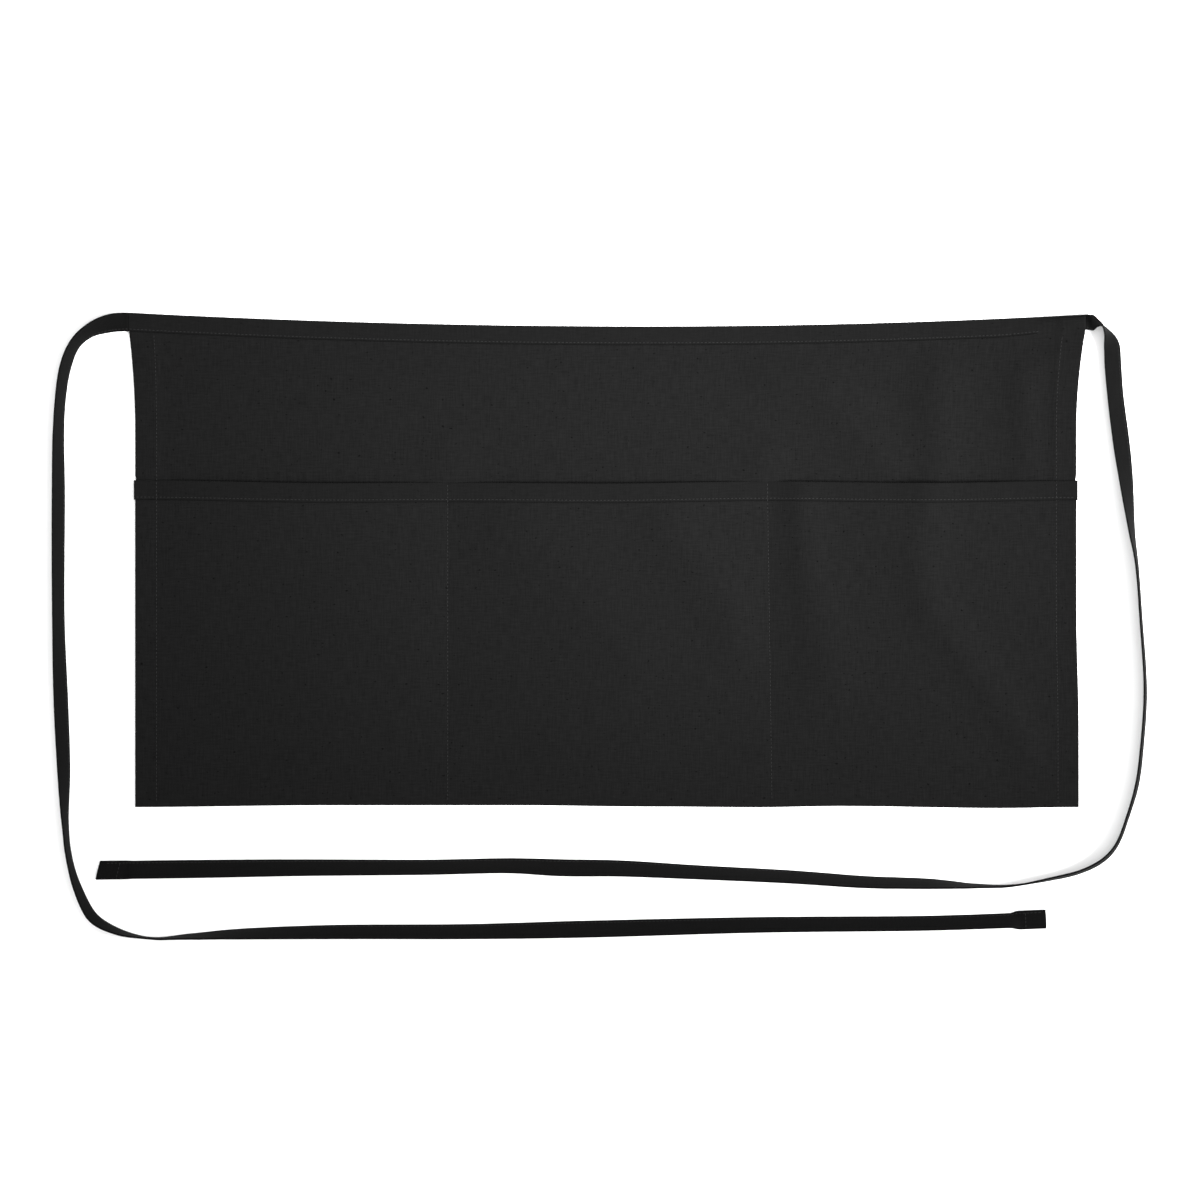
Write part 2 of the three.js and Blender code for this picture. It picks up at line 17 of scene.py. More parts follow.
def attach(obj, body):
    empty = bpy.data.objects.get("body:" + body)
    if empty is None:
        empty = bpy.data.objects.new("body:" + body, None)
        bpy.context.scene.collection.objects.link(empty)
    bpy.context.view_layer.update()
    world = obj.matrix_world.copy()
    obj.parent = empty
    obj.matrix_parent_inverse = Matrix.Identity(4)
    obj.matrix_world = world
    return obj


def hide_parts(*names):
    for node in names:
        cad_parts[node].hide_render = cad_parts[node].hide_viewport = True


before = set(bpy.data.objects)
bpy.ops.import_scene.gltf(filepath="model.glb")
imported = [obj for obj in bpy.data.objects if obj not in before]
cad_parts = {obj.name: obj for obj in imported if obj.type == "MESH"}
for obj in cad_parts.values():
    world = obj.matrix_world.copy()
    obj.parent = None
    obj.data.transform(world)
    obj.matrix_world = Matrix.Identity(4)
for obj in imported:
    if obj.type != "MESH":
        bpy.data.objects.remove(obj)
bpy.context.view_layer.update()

print("nodes:", ", ".join(sorted(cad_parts)))

# %% [markdown]
# ## The camera
# The photograph looks straight down. A long lens from four metres up gives the same flat
# outline, and its width of view is the width of the picture on the table.

# %% Camera
MM = 0.001
PICTURE_WIDTH = 777.6 * MM
CAMERA_HEIGHT = 4.0
PICTURE_MIDDLE = (-3.6 * MM, -26.2 * MM)

lens = bpy.data.cameras.new("overhead_camera")
lens.lens = lens.sensor_width * CAMERA_HEIGHT / PICTURE_WIDTH
lens.clip_end = 20.0
camera = bpy.data.objects.new("overhead_camera", lens)
camera.location = (*PICTURE_MIDDLE, CAMERA_HEIGHT)
bpy.context.scene.collection.objects.link(camera)
bpy.context.scene.camera = camera
print("lens: %.1f mm" % lens.lens)

# %% [markdown]
# ## The floor and the light
# A white table lit until it is nearly blank keeps attention on the black cloth. One softbox with
# a grid stands to the right. It is low, so that the shallow folds have a light side and a dark
# side, and its grid narrows the beam, so that the cloth is darker to the left and below. The sky
# fills in the rest, and the plain Standard view keeps the dark greys dark.

# %% Floor, sky and lamp
FLOOR_REACH = 6.0
SKY_STRENGTH = 1.5
KEY_WATTS = 4.3
KEY_SIZE = 0.5
KEY_BEAM = 33  # degrees
KEY_PLACE = (0.9, -0.09, 0.78)
KEY_AIM = (0.05, 0.11, 0.0)

bpy.context.scene.view_settings.view_transform = "Standard"


def srgb(code):
    """A linear colour from a hex code such as #262627."""
    parts = [int(code[i:i + 2], 16) / 255 for i in (1, 3, 5)]
    return (*[c / 12.92 if c <= 0.04045 else ((c + 0.055) / 1.055) ** 2.4 for c in parts], 1.0)


def node_in(material, kind, links=None, **settings):
    """Adds a node to a material, with its settings, and its inputs set or linked by name."""
    node = material.node_tree.nodes.new(kind)
    for name, value in settings.items():
        setattr(node, name, value)
    for name, value in (links or {}).items():
        if isinstance(value, bpy.types.NodeSocket):
            material.node_tree.links.new(value, node.inputs[name])
        else:
            node.inputs[name].default_value = value
    return node


def new_material(name):
    """An empty node material and its output node."""
    material = bpy.data.materials.new(name)
    material.use_nodes = True
    material.node_tree.nodes.clear()
    return material, node_in(material, "ShaderNodeOutputMaterial")


table_paint, table_out = new_material("white_table_paint")
painted = node_in(table_paint, "ShaderNodeBsdfPrincipled",
                  {"Base Color": srgb("#fafafa"), "Roughness": 0.9, "Specular IOR Level": 0.1})
table_paint.node_tree.links.new(painted.outputs["BSDF"], table_out.inputs["Surface"])

shell = bmesh.new()
bmesh.ops.create_grid(shell, x_segments=1, y_segments=1, size=FLOOR_REACH)
floor_mesh = bpy.data.meshes.new("table_top")
shell.to_mesh(floor_mesh)
shell.free()
floor_mesh.materials.append(table_paint)
floor = bpy.data.objects.new("table_top", floor_mesh)
bpy.context.scene.collection.objects.link(floor)

sky = bpy.data.worlds.new("studio_sky")
sky.use_nodes = True
sky.node_tree.nodes["Background"].inputs["Color"].default_value = (1.0, 1.0, 1.0, 1.0)
sky.node_tree.nodes["Background"].inputs["Strength"].default_value = SKY_STRENGTH
bpy.context.scene.world = sky

key_light = bpy.data.lights.new("key_softbox", "AREA")
key_light.energy = KEY_WATTS
key_light.size = KEY_SIZE
key_light.spread = math.radians(KEY_BEAM)
key = bpy.data.objects.new("key_softbox", key_light)
key.location = KEY_PLACE
key.rotation_euler = (Vector(KEY_AIM) - key.location).to_track_quat("-Z", "Y").to_euler()
bpy.context.scene.collection.objects.link(key)
print("key lamp: %.1f W from %.2f m" % (key_light.energy, key.location.length))

# %% [markdown]
# ## Sizes of the apron
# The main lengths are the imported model's. The cloth is 609 mm wide and 319 mm high, and the turned
# up part makes pockets 211 mm deep. Edges of real cloth are never straight: the waist sags
# between the ties, the sides flare towards it, and the mouth dips between the seams. The
# lowest cloth's middle lies BED above the table, and each layer adds LAYER.

# %% Sizes and edges
APRON_WIDTH = 609 * MM
APRON_HEIGHT = 319 * MM
POCKET_DEPTH = 211 * MM
BAND_HEIGHT = 12 * MM
BINDING_HEIGHT = 12.8 * MM
HEM_WIDTH = 14 * MM
HEM_SEAMS = {-1: 13.6 * MM, 1: 12.8 * MM}
HEM_FLARE = {-1: 0.45, 1: 0.75}
BAND_PINCH = 0.2
PINCH_REACH = 55 * MM
TIE_WIDTH = 12 * MM
TIE_LENGTHS = {-1: 1035 * MM, 1: 1019 * MM}
TIE_HEM = 14 * MM
CLOTH = 0.5 * MM
LAYER = 0.56 * MM
BED = 0.3 * MM
WAIST_SAG = {-1: 8.7 * MM, 1: 7.4 * MM}
WAIST_LOW = 0.047
FLARE = {-1: 4.0 * MM, 1: 5.8 * MM}
FLARE_DEPTH = 66 * MM
BOTTOM_Y = -APRON_HEIGHT / 2
TOP_Y = APRON_HEIGHT / 2
MOUTH_DIPS = [(-0.5, 0.0), (-0.29, 0.9), (-0.168, 0.7), (0.0, 1.0), (0.172, 0.35), (0.34, 0.85), (0.5, 0.15)]
MOUTH_SAG = 2.2 * MM
BOTTOM_DIPS = [(-0.5, 0.5), (-0.3, -0.4), (-0.1, -0.4), (0.06, 0.3), (0.16, 0.6), (0.25, 0.0),
               (0.42, 1.0), (0.5, 0.5)]
BOTTOM_WAVE = 1.3 * MM
LOWER_BULGE = {-1: 0.0, 1: 1.5 * MM}
BULGE_RUN = (-30 * MM, -112 * MM)
DIVIDERS = [{"mouth": -0.168, "bottom": -0.168}, {"mouth": 0.172, "bottom": 0.177}]


def mix(a, b, share):
    return a + (b - a) * share


def clamp(value):
    return min(1.0, max(0.0, value))


def ease(start, end, value):
    """0 before start, 1 after end, and level at both."""
    share = clamp((value - start) / (end - start))
    return share * share * (3 - 2 * share)


def between(rows, place):
    """Reads a short table of (place, value) rows, level at each row."""
    if place <= rows[0][0]:
        return rows[0][1]
    for (start, low), (end, high) in zip(rows, rows[1:]):
        if place <= end:
            return mix(low, high, ease(start, end, place))
    return rows[-1][1]


def waist_y(x):
    low = WAIST_LOW * APRON_WIDTH
    side = -1 if x < low else 1
    reach = APRON_WIDTH / 2 - side * low
    return TOP_Y - WAIST_SAG[-1] + WAIST_SAG[side] * ((x - low) / reach) ** 2


def mouth_y(x):
    return BOTTOM_Y + POCKET_DEPTH - MOUTH_SAG * between(MOUTH_DIPS, x / APRON_WIDTH)


def bottom_y(x):
    return BOTTOM_Y - BOTTOM_WAVE * between(BOTTOM_DIPS, x / APRON_WIDTH)


def side_x(side, y):
    share = clamp(1 - (TOP_Y - BAND_HEIGHT - y) / FLARE_DEPTH)
    bulge = LOWER_BULGE[side] * ease(*BULGE_RUN, y)
    return side * (APRON_WIDTH / 2 + FLARE[side] * share * share + bulge)


def hem_spread(side, y):
    """How much wider the hem is at a height, because its seam flares less than its edge."""
    flared = abs(side_x(side, y)) - APRON_WIDTH / 2
    return 1 + flared * (1 - HEM_FLARE[side]) / HEM_SEAMS[side]


def band_height(x):
    """The waistband is drawn narrower where the right tie begins to twist."""
    return BAND_HEIGHT * (1 - BAND_PINCH * ease(APRON_WIDTH / 2 - PINCH_REACH, APRON_WIDTH / 2, x))


def divider_x(index, y):
    seam = DIVIDERS[index]
    return APRON_WIDTH * mix(seam["bottom"], seam["mouth"], clamp((y - BOTTOM_Y) / POCKET_DEPTH))


print("mouth at the middle: %.1f mm above the fold" % ((mouth_y(0) - bottom_y(0)) / MM))

# %% [markdown]
# ## Folds that were left in the cloth
# Cotton that has been handled never lies dead flat. The soft ridges run down from the right of
# the waist and across the pockets, and a few hollows sit above the bottom fold. Each is one row
# of a table: a line on the cloth, the height of its crest, and how far it spreads, all in
# millimetres. Where one line follows another, a gap between them keeps their sum level. The
# heights are all raised by FOLD_RELIEF, so that the folds show as they do in the photograph.
# Slow noise adds the unevenness that is too small to chart. A cloth simulation could make folds
# too, but not these ones in these places.

# %% Fold tables and the cloth's relief
PANEL_FOLDS = [
    {"x": 108, "y": 126, "to_x": 140, "to_y": 109, "height": 1.3, "spread": 17},
    {"x": 160, "y": 92, "to_x": 182, "to_y": 62, "height": 1.2, "spread": 17},
    {"x": 216, "y": 132, "to_x": 215, "to_y": 58, "height": 1.4, "spread": 15},
    {"x": 272, "y": 118, "to_x": 277, "to_y": 60, "height": 1.0, "spread": 11},
    {"x": -105, "y": 64, "to_x": -100, "to_y": 56, "height": 0.8, "spread": 16},
    {"x": 103, "y": 66, "to_x": 104, "to_y": 56, "height": 0.7, "spread": 14},
    {"x": -240, "y": 120, "to_x": -150, "to_y": 88, "height": 0.5, "spread": 30},
]
POCKET_FOLDS = [
    {"x": 124, "y": 40, "to_x": 128, "to_y": 0, "height": 1.2, "spread": 15},
    {"x": 135, "y": -25, "to_x": 146, "to_y": -74, "height": 1.0, "spread": 16},
    {"x": 208, "y": 46, "to_x": 206, "to_y": -14, "height": 1.4, "spread": 15},
    {"x": 181, "y": 26, "to_x": 192, "to_y": 8, "height": 0.6, "spread": 14},
    {"x": 211, "y": -35, "to_x": 236, "to_y": -66, "height": 1.5, "spread": 13},
    {"x": 249, "y": -84, "to_x": 277, "to_y": -126, "height": 1.4, "spread": 13},
    {"x": -54, "y": 14, "to_x": 13, "to_y": -59, "height": 0.9, "spread": 24},
    {"x": 43, "y": 20, "to_x": 90, "to_y": -46, "height": 1.3, "spread": 18},
    {"x": -170, "y": -22, "to_x": -115, "to_y": -52, "height": 0.5, "spread": 22},
    {"x": -76, "y": -126, "to_x": -58, "to_y": -124, "height": -0.8, "spread": 17},
    {"x": -236, "y": -142, "to_x": -222, "to_y": -138, "height": -0.8, "spread": 18},
    {"x": 50, "y": -130, "to_x": 74, "to_y": -127, "height": -0.6, "spread": 18},
    {"x": 128, "y": -146, "to_x": 150, "to_y": -138, "height": -0.5, "spread": 16},
]
FOLD_RELIEF = 2.2
RIGHT_EDGE_CURL = 4.2 * MM
CURL_REACH = 62 * MM


def fold_height(folds, x, y):
    height = 0.0
    for fold in folds:
        start = Vector((fold["x"] * MM, fold["y"] * MM))
        run = Vector((fold["to_x"] * MM, fold["to_y"] * MM)) - start
        point = Vector((x, y)) - start
        share = clamp(point.dot(run) / run.length_squared)
        away = (point - run * share).length / (fold["spread"] * MM)
        if away < 3:
            height += fold["height"] * FOLD_RELIEF * MM * math.exp(-away * away)
    return height


def slow_noise(x, y, size, seed):
    """Noise from -1 to 1 whose bumps are about this size."""
    return noise.noise(Vector((x / size, y / size, seed)))


def unevenness(x, y, seed):
    return 0.5 * MM * slow_noise(x, y, 95 * MM, seed) + 0.12 * MM * slow_noise(x, y, 27 * MM, seed + 5)


def edge_curl(x, y):
    """The stiff right hem lifts a little off the table."""
    return RIGHT_EDGE_CURL * clamp(1 - (side_x(1, y) - x) / CURL_REACH) ** 2


print("folds:", len(PANEL_FOLDS), "above the pockets and", len(POCKET_FOLDS), "on them")

# %% [markdown]
# ## How each cloth piece is made
# A flat bmesh grid is the unsewn cloth. Every point of it is then moved to its place on the
# apron, as a hand would fold and lay it, and the grid's own flat measure is kept as its UV map,
# so that the weave follows the cloth round each fold. A second measure paints shade and light
# into the colour: a painted shade line along the tapes' lower edges, and painted light in the
# right tie's twist. A Solidify modifier gives the cloth its thickness.

# %% The cloth helper
def lay_cloth(name, columns, rows, place, material, shade=lambda row: 0.0):
    """A grid with a point for each column and row; place gives its position and flat place.

    The painted shade of a row is how much of its colour is taken away to stand in for shade: 0
    takes nothing, 1 is black, and a negative one is painted light, lighter than the dye.
    """
    shell = bmesh.new()
    flat = shell.loops.layers.uv.new("flat_cloth")
    # Per point: painted shade (positive) or painted light (negative), taken into the colour.
    painted_shade_and_light = shell.verts.layers.float.new("painted_shade_and_light")
    bmesh.ops.create_grid(shell, x_segments=len(columns) - 1, y_segments=len(rows) - 1, size=1)
    laid = {}
    for vert in shell.verts:
        column = round((vert.co.x + 1) / 2 * (len(columns) - 1))
        row = round((vert.co.y + 1) / 2 * (len(rows) - 1))
        position, flat_place = place(columns[column], rows[row])
        vert.co = position
        vert[painted_shade_and_light] = shade(rows[row])
        laid[vert.index] = flat_place
    for face in shell.faces:
        face.smooth = True
        for loop in face.loops:
            loop[flat].uv = laid[loop.vert.index]
    mesh = bpy.data.meshes.new(name)
    shell.to_mesh(mesh)
    shell.free()
    mesh.materials.append(material)
    piece = bpy.data.objects.new(name, mesh)
    bpy.context.scene.collection.objects.link(piece)
    wall = piece.modifiers.new("cloth_thickness", "SOLIDIFY")
    wall.thickness = CLOTH
    wall.offset = 0.0
    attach(piece, "root")
    print(name, "points:", len(mesh.vertices))
    return piece


def spread(count):
    """Evenly spread shares between 0 and 1, both ends left out."""
    return [(step + 1) / (count + 1) for step in range(count)]


# %% [markdown]
# ## Black cotton cloth
# The cloth is a dyed plain weave of slubby cotton: thick and thin places in the yarn leave fine
# streaks both ways and small dark specks. Its yarns are about half a millimetre apart, too fine
# for this picture, so the bump draws them at 0.8 mm. The colour comes from three noises in the
# cloth's own flat measure: streaks along the warp, streaks along the weft, and specks.

# %% Woven cotton materials
YARN_PITCH = 0.8 * MM
WARP_STREAK = (0.9 * MM, 12 * MM)
WEFT_STREAK = (8 * MM, 1.0 * MM)
SLUB = (2.6 * MM, 1.9 * MM)
SLUB_FROM = 0.70
SLUB_TO = 0.76
YARN_RELIEF = 0.12 * MM


def woven_cotton(name, colour, streaks=0.32, specks=0.7, sheen=0.015):
    """A dyed plain weave that reads the flat_cloth UV map, in metres."""
    cotton, out = new_material(name)
    flat = node_in(cotton, "ShaderNodeUVMap", uv_map="flat_cloth").outputs["UV"]

    def streak(across, along):
        scaled = node_in(cotton, "ShaderNodeMapping",
                         {"Vector": flat, "Scale": (1 / across, 1 / along, 1.0)})
        uneven = node_in(cotton, "ShaderNodeTexNoise",
                         {"Vector": scaled.outputs["Vector"], "Scale": 1.0, "Detail": 2.0, "Roughness": 0.6})
        return uneven.outputs["Fac"]

    warp = streak(*WARP_STREAK)
    weft = streak(*WEFT_STREAK)
    yarns = node_in(cotton, "ShaderNodeMath", {0: warp, 1: weft}, operation="ADD")
    tone = node_in(cotton, "ShaderNodeMapRange",
                   {"Value": yarns.outputs[0], "From Min": 0.6, "From Max": 1.4,
                    "To Min": 1 - streaks, "To Max": 1 + streaks})
    spot = node_in(cotton, "ShaderNodeMapping",
                   {"Vector": flat, "Scale": (1 / SLUB[0], 1 / SLUB[1], 1.0)})
    slubs = node_in(cotton, "ShaderNodeTexNoise",
                    {"Vector": spot.outputs["Vector"], "Scale": 1.0, "Detail": 1.0})
    dark = node_in(cotton, "ShaderNodeMapRange",
                   {"Value": slubs.outputs["Fac"], "From Min": SLUB_FROM, "From Max": SLUB_TO,
                    "To Min": 1.0, "To Max": 1 - specks})
    shade = node_in(cotton, "ShaderNodeMath", {0: tone.outputs["Result"], 1: dark.outputs["Result"]},
                    operation="MULTIPLY")
    # Painted shade and light: this attribute darkens the tapes' lower edges and lightens the right tie's
    # twist.
    seam = node_in(cotton, "ShaderNodeAttribute", attribute_name="painted_shade_and_light").outputs["Fac"]
    clear = node_in(cotton, "ShaderNodeMath", {0: 1.0, 1: seam}, operation="SUBTRACT")
    kept = node_in(cotton, "ShaderNodeMath", {0: shade.outputs[0], 1: clear.outputs[0]},
                   operation="MULTIPLY")
    tinted = node_in(cotton, "ShaderNodeVectorMath", {0: srgb(colour)[:3], "Scale": kept.outputs[0]},
                     operation="SCALE")
    heights = []
    for direction in ("X", "Y"):
        heights.append(node_in(cotton, "ShaderNodeTexWave",
                               {"Vector": flat, "Scale": math.pi / 10 / YARN_PITCH},
                               bands_direction=direction))
    weave = node_in(cotton, "ShaderNodeMath",
                    {0: heights[0].outputs["Fac"], 1: heights[1].outputs["Fac"]}, operation="MULTIPLY")
    relief = node_in(cotton, "ShaderNodeMath", {0: weave.outputs[0], 1: 0.35, 2: yarns.outputs[0]},
                     operation="MULTIPLY_ADD")
    bump = node_in(cotton, "ShaderNodeBump",
                   {"Height": relief.outputs[0], "Distance": YARN_RELIEF, "Strength": 0.6})
    surface = node_in(cotton, "ShaderNodeBsdfPrincipled",
                      {"Base Color": tinted.outputs["Vector"], "Roughness": 0.92, "Specular IOR Level": 0.02,
                       "Sheen Weight": sheen, "Sheen Roughness": 0.5, "Normal": bump.outputs["Normal"]})
    cotton.node_tree.links.new(surface.outputs["BSDF"], out.inputs["Surface"])
    return cotton


apron_cotton = woven_cotton("black_plain_weave_cotton", "#0e0e0e")
pocket_cotton = woven_cotton("black_pocket_cotton", "#0e0e0e")
binding_cotton = woven_cotton("black_binding_cotton", "#0d0d0d", streaks=0.22, specks=0.4)
tie_cotton = woven_cotton("black_tie_tape_cotton", "#090909", streaks=0.2, specks=0.3)
print("cottons:", apron_cotton.name, pocket_cotton.name, binding_cotton.name, tie_cotton.name)

# %% [markdown]
# ## The back cloth
# The back cloth's side edges are turned under in hems and lie on the table, its top runs up into
# the waistband, and its foot meets the pocket cloth inside the bottom fold. Its columns start
# under the left hem, turn round the edge, cross the cloth and turn under again on the right.

# %% Back cloth
TURN_STEPS = 5
FIELD_INSET = 18 * MM
FIELD_COLUMNS = 150
RELIEF_FADE = 26 * MM
PANEL_BILLOW = 0.6 * MM
POCKET_TUCK = 0.6 * MM
FOOT_OVERLAP = 4 * MM


def hem_columns(side):
    """From under the hem, round the edge, to just inside the hem's step."""
    columns = [{"side": side, "inset": inset, "layer": 0, "flat": -inset}
               for inset in (HEM_WIDTH, 9 * MM, 4 * MM)]
    radius = LAYER / 2
    for step in range(TURN_STEPS + 1):
        angle = math.pi * step / TURN_STEPS
        columns.append({"side": side, "inset": radius * (1 - math.sin(angle)),
                        "layer": (1 - math.cos(angle)) / 2, "flat": 0.0})
    for inset in (2, 4, 6, 8, 10, 11.2, 12.1, 13, 14):
        columns.append({"side": side, "inset": inset * MM, "layer": 1, "flat": inset * MM})
    columns.append({"side": side, "inset": 15.5 * MM, "layer": 0.4, "flat": 15.5 * MM})
    columns.append({"side": side, "inset": FIELD_INSET, "layer": 0, "flat": FIELD_INSET})
    return columns


back_columns = hem_columns(-1)
back_columns += [{"side": 0, "share": share} for share in spread(FIELD_COLUMNS)]
back_columns += list(reversed(hem_columns(1)))


def panel_relief(x, y):
    """Folds and unevenness of the back cloth, none where other cloth holds it flat."""
    open_cloth = ease(mouth_y(x) - 30 * MM, mouth_y(x) + 16 * MM, y)
    below_band = 1 - ease(waist_y(x) - BAND_HEIGHT - RELIEF_FADE, waist_y(x) - BAND_HEIGHT, y)
    inset = min(x - side_x(-1, y), side_x(1, y) - x)
    inside = ease(HEM_WIDTH, HEM_WIDTH + RELIEF_FADE, inset)
    folds = fold_height(PANEL_FOLDS, x, y) * inside
    billow = (PANEL_BILLOW + unevenness(x, y, 1.5)) * ease(0, 30 * MM, inset)
    return open_cloth * below_band * (folds + billow)


def back_cloth_place(column, row):
    middle_y = row["y"](0.0)
    tuck = POCKET_TUCK * (1 - ease(mouth_y(0) - 2 * MM, mouth_y(0) + 3 * MM, middle_y))
    if column["side"]:
        side = column["side"]
        edge_y = row["y"](side * APRON_WIDTH / 2)
        x = side_x(side, edge_y) - side * (column["inset"] * hem_spread(side, edge_y) + tuck)
        flat_x = side * (APRON_WIDTH / 2 - column["flat"])
        layer = column["layer"]
    else:
        left_y, right_y = row["y"](-APRON_WIDTH / 2), row["y"](APRON_WIDTH / 2)
        left = side_x(-1, left_y) + FIELD_INSET * hem_spread(-1, left_y)
        right = side_x(1, right_y) - FIELD_INSET * hem_spread(1, right_y)
        x = mix(left, right, column["share"])
        flat_x = mix(FIELD_INSET - APRON_WIDTH / 2, APRON_WIDTH / 2 - FIELD_INSET, column["share"])
        layer = 0
    y = row["y"](x)
    lift = row["lift"] * LAYER
    z = BED + layer * LAYER + lift + panel_relief(x, y) + edge_curl(x, y)
    return Vector((x, y, z)), (flat_x, y)


def band_low_y(x):
    return waist_y(x) - band_height(x)


def foot_y(x):
    return bottom_y(x) + FOOT_OVERLAP


back_rows = [{"y": lambda x, s=share: mix(foot_y(x), mouth_y(x) - 16 * MM, s), "lift": 0}
             for share in (0, 0.02, 0.1, 0.2, 0.3, 0.4, 0.5, 0.6, 0.7, 0.8, 0.9)]
back_rows += [{"y": lambda x, s=share: mix(mouth_y(x) - 16 * MM, band_low_y(x) - 3 * MM, s), "lift": 0}
              for share in [0, *spread(44), 1]]
back_rows.append({"y": lambda x: band_low_y(x) - 1.5 * MM, "lift": 0.5})
back_rows += [{"y": lambda x, s=share: mix(band_low_y(x), waist_y(x) - 1.4 * MM, s), "lift": 1}
              for share in (0, 0.3, 0.6, 1)]
back_cloth = lay_cloth("back_cloth", back_columns, back_rows, back_cloth_place, apron_cotton)
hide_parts("apron_panel")

# %% [markdown]
# ## The pocket cloth
# This is the same cloth turned up at the bottom. It starts under the apron, rounds the bottom
# fold and runs up to the mouth. Its side edges are turned down round the back cloth's hems. The
# divider seams pull it down to the back cloth, and between them each pocket stands a little open.

# %% Pocket cloth
POUCH_RISE = 3.5 * MM
POUCH_FOOT_SHARE = 0.42
SEAM_MARKS = (0.35, 0.8, 1.4, 2.4, 4, 7)
POUCH_COLUMNS = 44
FOLD_RADIUS = 0.56 * MM
SEAM_PULL = 24 * MM
PUCKER = 0.10 * MM
LIP_INSET = 0.6 * MM


def pocket_seams(y):
    """Where the pocket cloth is sewn down, and on how many layers it lies there."""
    return [
        {"x": side_x(-1, y) + HEM_SEAMS[-1], "layer": 2},
        {"x": divider_x(0, y), "layer": 1},
        {"x": divider_x(1, y), "layer": 1},
        {"x": side_x(1, y) - HEM_SEAMS[1], "layer": 2},
    ]


def pocket_z(x, y):
    """Height of the middle of the pocket cloth."""
    seams = pocket_seams(y)
    up = (y - bottom_y(x)) / (mouth_y(x) - bottom_y(x))
    bound = ease(mouth_y(x) - BINDING_HEIGHT - 3 * MM, mouth_y(x) - BINDING_HEIGHT, y)
    held = BED + LAYER * bound
    if x <= seams[0]["x"] or x >= seams[-1]["x"]:
        return held + 2 * LAYER + edge_curl(x, y)
    index = next(i for i in range(3) if x <= seams[i + 1]["x"])
    left, right = seams[index], seams[index + 1]
    share = (x - left["x"]) / (right["x"] - left["x"])
    near = min(x - left["x"], right["x"] - x)
    layers = mix(left["layer"], right["layer"], ease(0, 1, share))
    arch = 1 - (2 * share - 1) ** 2
    rise = 1 - (1 - clamp(up / POUCH_FOOT_SHARE)) ** 2
    loose = ease(0, SEAM_PULL, near) * ease(0, 0.2, up)
    relief = fold_height(POCKET_FOLDS, x, y) + unevenness(x, y, 7.5)
    beside_seam = ease(0, 2 * MM, near) * (1 - ease(2 * MM, 12 * MM, near))
    pucker = PUCKER * slow_noise(x, y * 2.2, 9 * MM, 3.5) * beside_seam
    return held + layers * LAYER + POUCH_RISE * arch * rise + loose * relief + pucker + edge_curl(x, y)


pocket_columns = []
for side in (-1, 1):
    edge = [{"side": side, "inset": 0.0, "drop": drop * MM} for drop in (1.3, 0.7)]
    edge += [{"side": side, "inset": LAYER * (1 - math.cos(a)) / 2, "drop": LAYER * (1 - math.sin(a)) / 2}
             for a in (0, math.pi / 6, math.pi / 3, math.pi / 2)]
    edge += [{"side": side, "inset": inset * MM, "drop": 0.0} for inset in (1.5, 3, 5, 7, 9, 10.6, 11.6)]
    if side < 0:
        pocket_columns += edge
        for index in range(3):
            pocket_columns.append({"seam": index, "share": 0.0, "away": 0.0})
            pocket_columns += [{"seam": index, "share": 0.0, "away": mark * MM} for mark in SEAM_MARKS]
            pocket_columns += [{"seam": index, "share": share, "away": 0.0}
                               for share in spread(POUCH_COLUMNS)]
            pocket_columns += [{"seam": index, "share": 1.0, "away": -mark * MM}
                               for mark in reversed(SEAM_MARKS)]
        pocket_columns.append({"seam": 2, "share": 1.0, "away": 0.0})
    else:
        pocket_columns += list(reversed(edge))


def pocket_column_x(column, y):
    if "side" in column:
        return side_x(column["side"], y) - column["side"] * column["inset"], column["drop"]
    seams = pocket_seams(y)
    left, right = seams[column["seam"]]["x"], seams[column["seam"] + 1]["x"]
    margin = (SEAM_MARKS[-1] + 3) * MM
    if column["share"] in (0.0, 1.0):
        return mix(left, right, column["share"]) + column["away"], 0.0
    return mix(left + margin, right - margin, column["share"]), 0.0


def pocket_place(column, row):
    level = mix(BOTTOM_Y, BOTTOM_Y + POCKET_DEPTH, clamp(row.get("share", 0.0)))
    x, drop = pocket_column_x(column, level)
    foot = bottom_y(x) + FOLD_RADIUS
    if "share" in row:
        y = mix(foot, mouth_y(x) - LIP_INSET, row["share"])
        z = max(pocket_z(x, y) - drop, 0.5 * MM)
        return Vector((x, y, z)), (x, y)
    # Round the bottom fold, from under the apron to the front
    shoulder = max(pocket_z(x, foot) - drop, BED + 0.2 * MM)
    if "under" in row:
        return Vector((x, foot + row["under"], BED)), (x, foot - FOLD_RADIUS * math.pi - row["under"])
    angle = row["turn"]
    reach = (shoulder - BED) / 2
    z = BED + reach * (1 - math.cos(angle))
    return Vector((x, foot - FOLD_RADIUS * math.sin(angle), z)), (x, foot - FOLD_RADIUS * (math.pi - angle))


pocket_rows = [{"under": under * MM} for under in (3.2, 1.6)]
pocket_rows += [{"turn": math.pi * step / 6} for step in range(6)]
pocket_rows += [{"share": share} for share in (0, 0.004, 0.01, 0.02, 0.03)]
pocket_rows += [{"share": mix(0.04, 0.9, share)} for share in [0, *spread(60), 1]]
pocket_rows += [{"share": share} for share in (0.915, 0.925, 0.935, 0.945, 0.955, 0.965, 0.975, 0.985, 1.0)]
pocket_cloth = lay_cloth("pocket_cloth", pocket_columns, pocket_rows, pocket_place, pocket_cotton)
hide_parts("pocket_panel")

# %% [markdown]
# ## The binding on the mouth
# A strip of the same cloth is folded over the pockets' raw top edge, with one arm in front and
# one behind, and sewn through near its lower edge. It runs from side to side and ends a
# millimetre outside the cloth. Its columns are the pocket cloth's, so that it rides on it closely.

